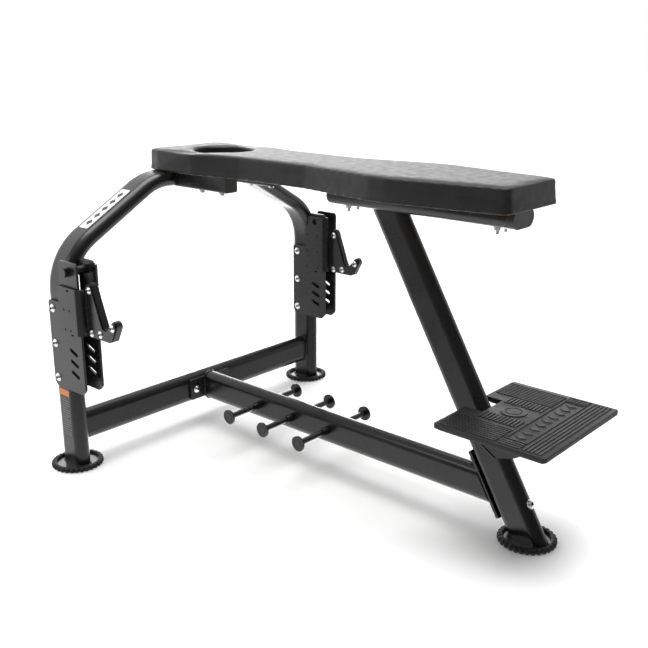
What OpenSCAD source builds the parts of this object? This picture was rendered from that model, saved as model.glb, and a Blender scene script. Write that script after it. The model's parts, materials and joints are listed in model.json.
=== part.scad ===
// Prone row bench: bent oval-tube frame, contoured pad, height-adjustable bar hooks.
// Millimetres. +Z up, +X towards the foot end, origin under the middle of the footprint.

/* [Frame] */
// Long side of the oval tube
tube_w = 100; // [80:1:120]
// Short side of the oval tube
tube_t = 50; // [40:1:60]
// Wall of the oval tube
wall = 3; // [2:0.5:5]
// Distance of each front leg from the middle
leg_y = 534; // [450:1:600]
// Height of the pad's underside
deck_z = 887; // [800:1:950]
// Height of the low beams' centre
beam_z = 123; // [90:1:180]
// Bend radius of the front arch
bend_r = 180; // [120:1:220]
// Distance from the front legs to the rear foot
wheelbase = 1300; // [1100:1:1500]

/* [Pad] */
// Pad thickness
pad_t = 66; // [45:1:80]
// Thickness of the pad's board
board_t = 14; // [9:1:20]
// Radius of the face hole
face_r = 92; // [70:1:100]

/* [Foot plate] */
// Height of the tread
tread_z = 355; // [250:1:450]
// Width across the tread
tread_w = 400; // [300:1:460]
// Length of the tread
tread_l = 317; // [250:1:350]
// Thickness of the rubber tread
tread_t = 16; // [12:1:22]

/* [Hooks] */
// Height of the hook cup's floor
cup_z = 489; // [400:1:550]
// Thickness of the guide plates
guide_t = 8; // [5:1:10]

/* [Details] */
// Diameter of the rubber feet
foot_d = 160; // [120:1:180]
// Length of the band pegs from tip to tip
peg_l = 320; // [250:1:400]
// Pitch of the band pegs
peg_pitch = 152.4; // [120:0.2:180]

/* [Hidden] */
$fn = 48;
x_arch = -677;                       // front legs' plane
r_t = tube_t / 2;
arch_z = deck_z - r_t;               // centre of the arch's level top
shoulder_y = 193;                    // where the shoulders would meet the level top
shoulder_z = arch_z - (leg_y - shoulder_y) * tan(30);
tread_x = 1117;                      // the tread's front edge
plate_z = tread_z - tread_t - 6;     // underside of the plate below the tread
recess_r = foot_d / 2 - 17;          // recess of a foot, which holds its base plate
leg_foot = 6;                        // tubes stand this high, on the base plates
tilt = 30.5;                         // lean of the rear leg
leg_x0 = wheelbase + 8;              // where the rear leg's axis meets the floor
rear_bolt_z = [96, 256];             // along the rear leg
peg_x = 303;
lap = 1;                             // straights run this far into the bends
rail_y = 97;
rail_w = 50;
head_rail_end = 262;
rear_rail_x = [628, 1204];
bolt_c = 0.2;                        // clearance around bolt shanks
gx = 0.3;                            // running gap beside the guide plates
liner_t = 2;
flange_t = 6;
car_y = r_t + guide_t + gx + liner_t + flange_t;  // half width of the carriage
web_x = 139;                         // carriage front face
hook_drop = cup_z - 489;             // the hook's outlines are drawn with the cup's floor at 489
black = [0.13, 0.13, 0.14];
silver = [0.75, 0.76, 0.78];
rubber = [0.06, 0.06, 0.06];
pad_pts = [[-64, 144], [0, 159], [160, 160], [345, 131], [610, 131], [870, 178], [925, 178], [1255, 126]];

// ---- shared shapes ----

module at_arch() { translate([x_arch, 0, 0]) children(); }
module both() { children(); mirror([0, 1, 0]) children(); }
module left_side() { at_arch() translate([0, -leg_y, 0]) children(); }
module right_side() { at_arch() mirror([0, 1, 0]) translate([0, -leg_y, 0]) children(); }
module in_leg() { translate([leg_x0, 0, 0]) rotate([0, -tilt, 0]) children(); }

module oval(w, t) {
    square([w - t, t], center = true);
    for (s = [-1, 1]) translate([s * (w - t) / 2, 0]) circle(r = t / 2);
}
// The tube's cross-section; slim thins its wall a little, so that a bend sits inside its straights.
module oval_ring(slim = 0) difference() {
    oval(tube_w - slim, tube_t - slim);
    oval(tube_w - 2 * wall + slim, tube_t - 2 * wall + slim);
}
module rounded(w, d, r) {
    difference() {
        square([w, d], center = true);
        for (a = [0, 1], b = [0, 1]) mirror([a, 0]) mirror([0, b]) translate([w / 2 - r, d / 2 - r])
            difference() { square(r + 1); circle(r = r); }
    }
}
module rod_y(r, y0, y1) { translate([0, y0, 0]) rotate([-90, 0, 0]) cylinder(r = r, h = y1 - y0); }
module rod_x(r, x0, x1) { translate([x0, 0, 0]) rotate([0, 90, 0]) cylinder(r = r, h = x1 - x0); }

// A domed bolt head with its washer, seated on z = 0.
module dome_head(r) {
    cylinder(r = r * 1.25, h = 1.6);
    translate([0, 0, 1.6]) intersection() {
        translate([0, 0, -r * 0.6]) sphere(r = r * 1.15);
        cylinder(r = r, h = r);
    }
}
module hex_head(r, h) { cylinder(r = r, h = h, $fn = 6); }
// Plate in the XZ plane between y0 and y1.
module upright_plate(y0, y1) { translate([0, y1, 0]) rotate([90, 0, 0]) linear_extrude(y1 - y0) children(); }

// ---- frame tubes ----

// One side of the arch: leg, bend, sloping shoulder and second bend.
module arch_side() {
    t1 = bend_r * tan(30);
    t2 = bend_r * tan(15);
    run = (leg_y - shoulder_y) / cos(30) - t1 - t2;
    bend_z = shoulder_z - t1;
    translate([0, leg_y, leg_foot]) linear_extrude(bend_z - leg_foot + lap) oval_ring();
    translate([0, leg_y - bend_r, bend_z]) rotate([90, 0, 90]) {
        bend(60);
        rotate(60) translate([bend_r, run + lap, 0]) rotate([90, 0, 0]) linear_extrude(run + 2 * lap)
            rotate(90) oval_ring();
        rotate(60) translate([0, run, 0]) bend(30);
    }
}
module bend(angle) rotate_extrude(angle = angle, $fn = 96) translate([bend_r, 0]) rotate(90) oval_ring(0.1);

module front_arch() color(black) at_arch() difference() {
    union() {
        both() arch_side();
        level = shoulder_y - bend_r * tan(15) + lap;
        translate([0, level, arch_z]) rotate([90, 0, 0]) linear_extrude(2 * level) oval_ring();
    }
    both() translate([0, -leg_y, 0]) guide_bolt_places() rod_y(5 + bolt_c, -r_t - 5, r_t + 5);
}

module cross_beam() color(black) at_arch() difference() {
    translate([0, leg_y - r_t, beam_z]) rotate([90, 0, 0]) linear_extrude(2 * leg_y - tube_t) rotate(90) oval_ring();
    both() translate([0, 62, beam_z]) rod_x(6 + bolt_c, -r_t - 5, r_t + 5);
}

module main_beam() color(black) at_arch() difference() {
    translate([r_t + 8, 0, beam_z]) rotate([90, 0, 90]) linear_extrude(wheelbase) rotate(90) oval_ring();
    in_leg() translate([-tube_w / 2 - 8, -200, -300]) cube([600, 400, 1200]);
    for (i = [0:2]) translate([peg_x + i * peg_pitch, 0, beam_z]) rod_y(9 + bolt_c, -40, 40);
}

module front_flange_plate() color(black) at_arch() translate([r_t, 0, beam_z]) difference() {
    rotate([90, 0, 90]) linear_extrude(8) rounded(176, 74, 6);
    both() translate([0, 62, 0]) rod_x(6 + bolt_c, -1, 9);
}

module front_flange_bolts() color(silver) at_arch() both() translate([r_t + 8, 62, beam_z]) {
    rotate([0, 90, 0]) dome_head(11);
    rod_x(6, -tube_t - 14, 0.5);
    translate([-tube_t - 8, 0, 0]) rotate([0, -90, 0]) { cylinder(r = 14, h = 2); hex_head(10.5, 10); }
}

module rear_flange_plate() color(black) at_arch() in_leg() translate([-tube_w / 2 - 8, 0, 180]) difference() {
    rotate([0, 90, 0]) linear_extrude(8) rounded(198, 44, 6);
    for (z = rear_bolt_z) translate([0, 0, z - 180]) rod_x(6 + bolt_c, -1, 9);
}

module rear_flange_bolts() color(silver) at_arch() in_leg() for (z = rear_bolt_z) translate([0, 0, z]) {
    rod_x(6, -tube_w / 2 - 26, tube_w / 2 + 1);
    translate([tube_w / 2, 0, 0]) rotate([0, 90, 0]) dome_head(11);
    translate([-tube_w / 2 - 8, 0, 0]) rotate([0, -90, 0]) { cylinder(r = 13, h = 2); hex_head(10.5, 12); }
}

module rear_leg() color(black) at_arch() difference() {
    in_leg() translate([0, 0, -60]) linear_extrude(1140) oval_ring();
    translate([leg_x0 - 200, -100, leg_foot - 200]) cube([400, 200, 200]);
    translate([leg_x0 - 800, -100, deck_z - tube_t]) cube([800, 200, 300]);
    in_leg() for (z = rear_bolt_z) translate([0, 0, z]) rod_x(6 + bolt_c, -80, 80);
}

module rear_rail() color(black) at_arch() difference() {
    translate([rear_rail_x[0], 0, arch_z]) rotate([90, 0, 90]) linear_extrude(rear_rail_x[1] - rear_rail_x[0])
        oval_ring();
    rear_bolt_places() cylinder(r = 5 + bolt_c, h = 200, center = true);
}

module head_rail() translate([0, -rail_y, arch_z]) difference() {
    rotate([90, 0, 90]) linear_extrude(head_rail_end) difference() {
        rounded(rail_w, rail_w, 6);
        rounded(rail_w - 2 * wall, rail_w - 2 * wall, 3);
    }
    rotate([90, 0, 0]) linear_extrude(200, center = true) oval(tube_w, tube_t);
    translate([0, rail_y, -arch_z]) head_bolt_places() cylinder(r = 5 + bolt_c, h = 200, center = true);
}
module left_head_rail() color(black) at_arch() head_rail();
module right_head_rail() color(black) at_arch() mirror([0, 1, 0]) head_rail();

module rear_rail_caps() color(rubber) at_arch() for (e = [0, 1])
    translate([rear_rail_x[e], 0, arch_z]) rotate([90, 0, e == 1 ? 90 : -90]) {
        linear_extrude(e == 1 ? 22 : 5) oval(tube_w, tube_t);
        translate([0, 0, -14]) linear_extrude(14) oval(tube_w - 2 * wall - 0.4, tube_t - 2 * wall - 0.4);
    }

module head_rail_caps() color(rubber) at_arch() both() translate([head_rail_end, -rail_y, arch_z]) rotate([90, 0, 90]) {
    linear_extrude(15) rounded(rail_w, rail_w, 6);
    translate([0, 0, -9]) linear_extrude(9) rounded(rail_w - 2 * wall - 0.4, rail_w - 2 * wall - 0.4, 3);
}

// ---- pad ----

module pad_outline(grow = 0) {
    round_r = 28 + grow;
    offset(r = round_r, $fn = 64) offset(delta = grow - round_r)
        polygon(concat(pad_pts, [for (i = [len(pad_pts) - 1:-1:0]) [pad_pts[i][0], -pad_pts[i][1]]]));
}
module face_hole(r) { translate([140, 0]) circle(r = r, $fn = 64); }

module pad_board() color([0.5, 0.4, 0.28]) at_arch() difference() {
    translate([0, 0, deck_z]) linear_extrude(board_t) difference() { pad_outline(-8); face_hole(face_r + 8); }
    head_bolt_places() cylinder(r = 5 + bolt_c, h = 300, center = true);
    rear_bolt_places() cylinder(r = 5 + bolt_c, h = 300, center = true);
}

module pad_cushion() color([0.16, 0.16, 0.17]) at_arch() difference() {
    translate([0, 0, deck_z]) linear_extrude(pad_t) difference() { pad_outline(); face_hole(face_r); }
    translate([0, 0, deck_z - 1]) linear_extrude(board_t + 1.2) difference() {
        pad_outline(-7.8);
        face_hole(face_r + 7.8);
    }
}

module head_bolt_places() { for (x = [154, 246], s = [-1, 1]) translate([x, s * 106, deck_z]) children(); }
module rear_bolt_places() { for (x = [682, 1165], s = [-1, 1]) translate([x, s * 20, deck_z]) children(); }
// A stud from the board down through the rail, with a washer and a nut; its tail hangs below the rail.
module pad_stud(tail) {
    translate([0, 0, -rail_w - tail]) cylinder(r = 5, h = rail_w + tail + 11);
    translate([0, 0, -rail_w - 2]) cylinder(r = 12, h = 2);
    translate([0, 0, -rail_w - 8]) hex_head(9.2, 6.5);
}
module head_pad_bolts() color(silver) at_arch() head_bolt_places() pad_stud(10);
module rear_pad_bolts() color(silver) at_arch() rear_bolt_places() pad_stud(18);

// ---- band pegs ----

module band_peg(i) color(black) at_arch() translate([peg_x + i * peg_pitch, 0, beam_z]) {
    rod_y(9, -peg_l / 2, peg_l / 2);
    both() difference() {
        rod_y(24, peg_l / 2 - 5, peg_l / 2);
        difference() { rod_y(15, peg_l / 2 - 1, peg_l / 2 + 1); rod_y(12.5, peg_l / 2 - 2, peg_l / 2 + 2); }
    }
}
module band_peg_front() band_peg(0);
module band_peg_middle() band_peg(1);
module band_peg_rear() band_peg(2);

module peg_collars() color(black) at_arch() for (i = [0:2]) translate([peg_x + i * peg_pitch, 0, beam_z])
    both() difference() { rod_y(13, r_t, r_t + 28); rod_y(9 + bolt_c, 0, 100); }

// ---- foot plate ----

module tread_outline(grow = 0) difference() {
    translate([tread_x + tread_l / 2, 0]) rounded(tread_l + 2 * grow, tread_w + 2 * grow, max(10 + grow, 3));
    translate([tread_x - 20, -50 + grow]) square([73 - grow, 100 - 2 * grow]);
}
tread_screw_pts = [for (x = [1200, 1370], y = [-60, 60]) [x, y]];

// Grooves across the tread's outer band, and along it on each side of the leg.
module tread_grooves() {
    far = tread_x + tread_l;
    for (x = [far - 60:9:far - 12]) translate([x, 10 - tread_w / 2, tread_z - 1.6]) cube([3, tread_w - 20, 2]);
    both() for (y = [100:9:tread_w / 2 - 10]) translate([tread_x + 10, y, tread_z - 1.6]) cube([tread_l - 90, 3, 2]);
}

module tread_pad() color([0.11, 0.11, 0.11]) at_arch() difference() {
    translate([0, 0, tread_z - tread_t]) linear_extrude(tread_t) tread_outline();
    tread_grooves();
    for (p = tread_screw_pts) translate([p[0], p[1], tread_z - tread_t - 1]) cylinder(r = 4 + bolt_c, h = 9);
}

module tread_base_plate() color(black) at_arch() difference() {
    translate([0, 0, plate_z]) linear_extrude(6) tread_outline(-10);
    for (p = tread_screw_pts) translate([p[0], p[1], plate_z - 2]) cylinder(r = 4 + bolt_c, h = 10);
}

module tread_screws() color(silver) at_arch() for (p = tread_screw_pts) translate([p[0], p[1], plate_z]) {
    translate([0, 0, -5]) hex_head(7.5, 5);
    translate([0, 0, -1]) cylinder(r = 4, h = 13);
}

module tread_gusset() upright_plate(-r_t - 6, -r_t)
    polygon([[1128, plate_z], [1128, 268], [1206, 222], [1262, 238], [1390, plate_z - 10], [1390, plate_z]]);
module tread_gusset_left() color(black) at_arch() tread_gusset();
module tread_gusset_right() color(black) at_arch() mirror([0, 1, 0]) tread_gusset();

module tread_brace() color(black) at_arch() upright_plate(-r_t, r_t)
    polygon([[1240, 232], [1262, 238], [1390, plate_z - 10], [1386, plate_z - 4], [1260, 244], [1240, 238]]);

// ---- feet ----

module foot_pad() difference() {
    cylinder(r = foot_d / 2, h = 10);
    translate([0, 0, 3]) cylinder(r = recess_r, h = 20);
    for (i = [0:29]) rotate(i * 12) translate([foot_d / 2 + 1.2, 0, -1]) cylinder(r = 4.8, h = 20, $fn = 24);
}
module foot_rim() difference() {
    translate([0, 0, 10]) cylinder(r1 = foot_d / 2 - 4, r2 = foot_d / 2 - 7, h = 4);
    translate([0, 0, 3]) cylinder(r = recess_r, h = 20);
}
module foot() color(rubber) union() { foot_pad(); foot_rim(); }
module base_plate() color([0.45, 0.45, 0.46]) translate([0, 0, 3]) cylinder(r = recess_r - 0.3, h = 3);

module left_foot_pad() left_side() foot();
module right_foot_pad() right_side() foot();
module rear_foot_pad() at_arch() translate([wheelbase, 0, 0]) foot();
module left_foot_base() left_side() base_plate();
module right_foot_base() right_side() base_plate();
module rear_foot_base() at_arch() translate([wheelbase, 0, 0]) base_plate();

// ---- hook guides on the front legs ----

slot_z = [326, 361, 396];
stop_pt = [86, 642];
pin_pt = [88, 588];

module guide_bolt_places() { for (z = [296, 406, 516]) translate([-12, 0, z]) children(); }

// The plate's upper arm starts at arm_x, further forward on the side to which the tube bends.
module guide_profile(arm_x) difference() {
    offset(r = 8) offset(delta = -8) polygon([[-33, 281], [-21, 268], [112, 268], [128, 284], [128, 662],
                                              [120, 671], [arm_x + 8, 671], [arm_x, 663], [arm_x, 541], [-26, 541], [-33, 534]]);
    for (z = slot_z) translate([83, z]) rotate(-22) oval(42, 12);
    for (z = [296, 406, 516]) translate([-12, z]) circle(r = 5 + bolt_c);
    translate(stop_pt) circle(r = 6 + bolt_c);
    for (p = [[84, 450], pin_pt]) translate(p) oval(13, 6);
}
module outer_guide() color(black) upright_plate(-r_t - guide_t, -r_t) guide_profile(38);
module inner_guide() color(black) upright_plate(r_t, r_t + guide_t) guide_profile(53);
module left_outer_guide_plate() left_side() outer_guide();
module left_inner_guide_plate() left_side() inner_guide();
module right_outer_guide_plate() right_side() outer_guide();
module right_inner_guide_plate() right_side() inner_guide();

module guide_bolts() color(silver) guide_bolt_places() {
    rod_y(5, -r_t - guide_t - 0.5, r_t + guide_t + 0.5);
    translate([0, -r_t - guide_t, 0]) rotate([90, 0, 0]) dome_head(10);
    translate([0, r_t + guide_t, 0]) rotate([-90, 0, 0]) dome_head(10);
}
module left_guide_bolts() left_side() guide_bolts();
module right_guide_bolts() right_side() guide_bolts();

module stop_bolt() color([0.2, 0.2, 0.21]) translate([stop_pt[0], 0, stop_pt[1]]) {
    rod_y(6, -r_t - guide_t - 1, r_t + guide_t);
    translate([0, -r_t - guide_t, 0]) rotate([90, 0, 0]) { cylinder(r = 15, h = 2.5); hex_head(13.5, 15); }
}
module stop_sleeve() color(rubber) translate([stop_pt[0], 0, stop_pt[1]])
    difference() { rod_y(13, -12, r_t - 0.3); rod_y(6 + bolt_c, -30, 30); }
module left_stop_bolt() left_side() stop_bolt();
module right_stop_bolt() right_side() stop_bolt();
module left_stop_sleeve() left_side() stop_sleeve();
module right_stop_sleeve() right_side() stop_sleeve();

// ---- sliding carriages ----

car_z = [457, 597, 662];             // bottom, top of the web, top of the inner flange
screw_r = 3.5;
outer_screws = [for (x = [63, 91], z = [467, 528]) [x, z]];
inner_screws = concat([for (x = [48, 102], z = [467, 529, 591]) [x, z]], [[60, 651], [102, 651]]);

module flange_and_bend() {
    bend = 16;
    translate([37, car_y - flange_t]) square([web_x - bend - 37, flange_t]);
    translate([web_x - bend, car_y - bend]) difference() {
        circle(r = bend);
        circle(r = bend - flange_t);
        translate([-50, -50]) square([50, 100]);
        translate([-50, -50]) square([100, 50]);
    }
}
// The inner flange's upper back corner is cut away, because the tube bends towards it.
module tube_relief() upright_plate(20, 60) polygon([[30, 612], [37, 612], [53, 636], [53, 700], [30, 700]]);
module pin_slot() upright_plate(-car_y - 12, -car_y + 12) translate(pin_pt) oval(13, 6);
module screw_holes(pts, y, r) { for (p = pts) translate([p[0], y, p[1]]) rod_y(r, -12, 12); }

module carriage() color(black) difference() {
    union() {
        translate([0, 0, car_z[0]]) linear_extrude(car_z[1] - car_z[0]) {
            both() flange_and_bend();
            translate([web_x - flange_t, -car_y + 16]) square([flange_t, 2 * car_y - 32]);
        }
        translate([0, 0, car_z[1]]) linear_extrude(car_z[2] - car_z[1]) flange_and_bend();
    }
    screw_holes(outer_screws, -car_y, screw_r + bolt_c);
    screw_holes(inner_screws, car_y, screw_r + bolt_c);
    pin_slot();
    translate([stop_pt[0], car_y, stop_pt[1]]) rod_y(11, -12, 12);
    tube_relief();
}

module slide_liners() color([0.9, 0.9, 0.88]) {
    difference() {
        upright_plate(-car_y + flange_t, -car_y + flange_t + liner_t) translate([40, car_z[0] + 3]) square([80, 134]);
        screw_holes(outer_screws, -car_y, screw_r + bolt_c);
        pin_slot();
    }
    difference() {
        upright_plate(car_y - flange_t - liner_t, car_y - flange_t) translate([40, car_z[0] + 3]) square([80, 200]);
        screw_holes(inner_screws, car_y, screw_r + bolt_c);
        translate([stop_pt[0], car_y, stop_pt[1]]) rod_y(11, -12, 12);
        tube_relief();
    }
}
module liner_screws() color([0.2, 0.2, 0.2]) {
    for (p = outer_screws) translate([p[0], 0, p[1]]) rod_y(screw_r, -car_y + 1.5, -car_y + flange_t + liner_t - 0.4);
    for (p = inner_screws) translate([p[0], 0, p[1]]) rod_y(screw_r, car_y - flange_t - liner_t + 0.4, car_y - 1.5);
}

// ---- bar hooks ----

cheek_pts = [[web_x, 456], [web_x, 606], [146, 613], [157, 613], [163, 607], [206, 493], [212, 487], [228, 487],
             [234, 491], [256, 517], [262, 519], [268, 516], [272, 507], [271, 502], [248, 459], [243, 456]];
core_pts = [[web_x, 457], [web_x, 608], [146, 616], [159, 616], [167, 608], [210, 495], [215, 489], [226, 489],
            [232, 493], [255, 520], [263, 524], [271, 521], [277, 511], [276, 504], [251, 460], [244, 457]];
hook_bolt_pts = [[156, 596], [155, 467], [198, 472], [258, 503]];

module hook_profile(pts) translate([0, hook_drop]) difference() {
    polygon(pts);
    for (p = hook_bolt_pts) translate(p) circle(r = 4 + bolt_c);
}
module hook_cheeks() color([0.3, 0.3, 0.31]) {
    upright_plate(-14, -9) hook_profile(cheek_pts);
    upright_plate(9, 14) hook_profile(cheek_pts);
}
module hook_core() color(rubber) upright_plate(-9, 9) hook_profile(core_pts);
module hook_bolts() color(silver) for (p = hook_bolt_pts) translate([p[0], 0, p[1] + hook_drop]) {
    rod_y(4, -14.5, 14.5);
    both() translate([0, -14, 0]) rotate([90, 0, 0]) dome_head(9);
}

module left_carriage() left_side() carriage();
module right_carriage() right_side() carriage();
module left_slide_liners() left_side() slide_liners();
module right_slide_liners() right_side() slide_liners();
module left_liner_screws() left_side() liner_screws();
module right_liner_screws() right_side() liner_screws();
module left_hook_cheeks() left_side() hook_cheeks();
module right_hook_cheeks() right_side() hook_cheeks();
module left_hook_core() left_side() hook_core();
module right_hook_core() right_side() hook_core();
module left_hook_bolts() left_side() hook_bolts();
module right_hook_bolts() right_side() hook_bolts();

front_arch();
cross_beam();
main_beam();
front_flange_plate();
front_flange_bolts();
rear_flange_plate();
rear_flange_bolts();
rear_leg();
rear_rail();
left_head_rail();
right_head_rail();
rear_rail_caps();
head_rail_caps();
pad_board();
pad_cushion();
head_pad_bolts();
rear_pad_bolts();
band_peg_front();
band_peg_middle();
band_peg_rear();
peg_collars();
tread_pad();
tread_base_plate();
tread_gusset_left();
tread_gusset_right();
tread_brace();
tread_screws();
left_foot_pad();
right_foot_pad();
rear_foot_pad();
left_foot_base();
right_foot_base();
rear_foot_base();
left_outer_guide_plate();
left_inner_guide_plate();
right_outer_guide_plate();
right_inner_guide_plate();
left_guide_bolts();
right_guide_bolts();
left_stop_bolt();
right_stop_bolt();
left_stop_sleeve();
right_stop_sleeve();
left_carriage();
right_carriage();
left_slide_liners();
right_slide_liners();
left_liner_screws();
right_liner_screws();
left_hook_cheeks();
right_hook_cheeks();
left_hook_core();
right_hook_core();
left_hook_bolts();
right_hook_bolts();
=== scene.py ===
"""Looks of the prone row bench: vinyl pad, ribbed tread, bolts, weld beads, stickers and finishes.

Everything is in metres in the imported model's frame: +X towards the foot plate, +Z up, floor at z = 0.
"""

import json
import math

import bmesh
import bpy
from mathutils import Matrix, Vector, noise

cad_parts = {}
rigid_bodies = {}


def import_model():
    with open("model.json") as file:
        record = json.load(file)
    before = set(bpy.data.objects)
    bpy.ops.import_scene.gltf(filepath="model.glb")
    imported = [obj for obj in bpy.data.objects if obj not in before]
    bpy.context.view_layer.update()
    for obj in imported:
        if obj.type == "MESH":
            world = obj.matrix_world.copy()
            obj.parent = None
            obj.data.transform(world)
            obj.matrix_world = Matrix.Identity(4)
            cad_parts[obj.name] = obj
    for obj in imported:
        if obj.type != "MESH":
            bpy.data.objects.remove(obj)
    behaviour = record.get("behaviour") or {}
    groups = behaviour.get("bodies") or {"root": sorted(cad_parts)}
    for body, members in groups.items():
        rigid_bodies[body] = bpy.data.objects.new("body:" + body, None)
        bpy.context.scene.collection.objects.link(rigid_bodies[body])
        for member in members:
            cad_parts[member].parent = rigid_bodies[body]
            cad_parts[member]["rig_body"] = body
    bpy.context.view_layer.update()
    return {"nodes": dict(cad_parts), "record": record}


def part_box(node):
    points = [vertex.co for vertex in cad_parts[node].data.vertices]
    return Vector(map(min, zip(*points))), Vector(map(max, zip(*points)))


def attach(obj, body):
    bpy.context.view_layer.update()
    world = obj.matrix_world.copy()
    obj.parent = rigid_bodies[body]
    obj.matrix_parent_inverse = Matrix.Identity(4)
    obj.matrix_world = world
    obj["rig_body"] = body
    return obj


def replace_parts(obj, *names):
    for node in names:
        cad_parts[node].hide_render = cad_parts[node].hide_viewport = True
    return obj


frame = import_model()
NODES = frame["nodes"]
SLOT_OF = {s["node"]: s["material_slot"] for s in frame["record"]["subparts"]}
SIDES = {"left": -1, "right": 1}

# Places that the frame fixes.
LEG_X = (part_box("left_foot_pad")[0].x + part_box("left_foot_pad")[1].x) / 2
LEG_Y = (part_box("right_foot_pad")[0].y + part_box("right_foot_pad")[1].y) / 2
HALF_TUBE = 0.025                                   # half of the oval tube's thickness
HALF_TUBE_W = 0.050                                 # half of the oval tube's width
DECK_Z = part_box("pad_cushion")[0].z                 # the arch's top, where the pad lies
ARCH_Z = DECK_Z - HALF_TUBE
BEAM_Z = (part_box("cross_beam")[0].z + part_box("cross_beam")[1].z) / 2
PLATE_T = 0.008                                     # thickness of the guide plates and flange plates


# ---- materials ----

class Finish:
    """A procedural material: one principled shader and the textures that drive it."""

    def __init__(self, name, metallic=0.0, **sockets):
        self.material = bpy.data.materials.new(name)
        self.material.use_nodes = True
        self.tree = self.material.node_tree
        self.shader = self.tree.nodes["Principled BSDF"]
        self.shader.inputs["Metallic"].default_value = metallic
        for socket, value in sockets.items():
            self.shader.inputs[socket.replace("_", " ").title().replace("Ior", "IOR")].default_value = value
        self.place = self.tree.nodes.new("ShaderNodeTexCoord").outputs["Object"]
        self.normal = None

    def stretched(self, scale):
        mapping = self.tree.nodes.new("ShaderNodeMapping")
        mapping.inputs["Scale"].default_value = scale
        self.tree.links.new(self.place, mapping.inputs["Vector"])
        return mapping.outputs["Vector"]

    def noise(self, scale, detail=2.0, stretch=(1, 1, 1)):
        node = self.tree.nodes.new("ShaderNodeTexNoise")
        node.inputs["Scale"].default_value = scale
        node.inputs["Detail"].default_value = detail
        self.tree.links.new(self.stretched(stretch), node.inputs["Vector"])
        return node.outputs["Fac"]

    def cells(self, scale):
        node = self.tree.nodes.new("ShaderNodeTexVoronoi")
        node.feature = "DISTANCE_TO_EDGE"
        node.inputs["Scale"].default_value = scale
        self.tree.links.new(self.place, node.inputs["Vector"])
        return node.outputs["Distance"]

    def ramp(self, value, stops):
        node = self.tree.nodes.new("ShaderNodeValToRGB")
        elements = node.color_ramp.elements
        while len(elements) < len(stops):
            elements.new(0.5)
        for element, (position, colour) in zip(elements, stops):
            element.position = position
            element.color = (*colour, 1) if len(colour) == 3 else colour
        self.tree.links.new(value, node.inputs["Fac"])
        return node.outputs["Color"]

    def colour(self, value, stops):
        self.tree.links.new(self.ramp(value, stops), self.shader.inputs["Base Color"])
        return self

    def rough(self, value, low, high):
        node = self.tree.nodes.new("ShaderNodeMapRange")
        node.inputs["From Min"].default_value = 0.3
        node.inputs["From Max"].default_value = 0.7
        node.inputs["To Min"].default_value = low
        node.inputs["To Max"].default_value = high
        self.tree.links.new(value, node.inputs["Value"])
        self.tree.links.new(node.outputs["Result"], self.shader.inputs["Roughness"])
        return self

    def bump(self, value, distance, strength=1.0):
        node = self.tree.nodes.new("ShaderNodeBump")
        node.inputs["Distance"].default_value = distance
        node.inputs["Strength"].default_value = strength
        self.tree.links.new(value, node.inputs["Height"])
        if self.normal is not None:
            self.tree.links.new(self.normal, node.inputs["Normal"])
        self.normal = node.outputs["Normal"]
        self.tree.links.new(self.normal, self.shader.inputs["Normal"])
        return self


def shades(colour, spread):
    """Two stops, a little darker and a little lighter than a colour."""
    return [(0.3, [c * (1 - spread) for c in colour]), (0.7, [c * (1 + spread) for c in colour])]


def powder_coat(name, colour, low=0.24, high=0.33):
    made = Finish(name)
    made.colour(made.noise(7, 4), shades(colour, 0.12))
    made.rough(made.noise(12, 3), low, high)
    made.bump(made.noise(900, 2), 0.00005, 0.4)
    return made.bump(made.noise(160, 1), 0.00006, 0.4).material


def polished(name, greys, low, high):
    made = Finish(name, metallic=1.0)
    dark, light = greys
    stops = [(0.25, (dark, dark, dark * 1.03)), (0.75, (light, light, light * 1.02))]
    made.colour(made.noise(120, 3), stops)
    made.rough(made.noise(260, 2), low, high)
    return made.bump(made.noise(1500, 2), 0.00004, 0.5).material


def vinyl():
    made = Finish("vinyl", specular_ior_level=0.36)
    made.colour(made.noise(14, 5), shades((0.009, 0.009, 0.0095), 0.18))
    made.rough(made.noise(45, 3), 0.42, 0.54)
    made.bump(made.cells(420), 0.00022, 0.45)
    made.bump(made.noise(60, 4), 0.00045, 0.25)
    return made.bump(made.noise(9, 2), 0.0022, 0.10).material


def rubber(name, colour, low=0.55, high=0.72):
    made = Finish(name, specular_ior_level=0.38)
    made.colour(made.noise(22, 5), shades(colour, 0.22))
    made.rough(made.noise(60, 3), low, high)
    made.bump(made.noise(1100, 3), 0.00018, 0.7)
    return made.bump(made.noise(80, 3), 0.00020, 0.4).material


def moulded(name, colour, low=0.38, high=0.50):
    made = Finish(name)
    made.colour(made.noise(18, 3), shades(colour, 0.15))
    made.rough(made.noise(40, 3), low, high)
    return made.bump(made.cells(800), 0.00010, 0.5).material


def plywood():
    made = Finish("plywood")
    grain = made.noise(40, 6, stretch=(0.08, 1.0, 1.0))
    made.colour(grain, [(0.30, (0.16, 0.095, 0.045)), (0.70, (0.42, 0.29, 0.16))])
    made.rough(grain, 0.55, 0.75)
    return made.bump(made.noise(300, 3, stretch=(0.05, 1.0, 1.0)), 0.0003, 0.5).material


def printed(name, colour):
    made = Finish(name)
    made.colour(made.noise(35, 3), shades(colour, 0.03))
    made.rough(made.noise(50, 2), 0.34, 0.44)
    return made.bump(made.noise(500, 2), 0.00005, 0.5).material


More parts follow.
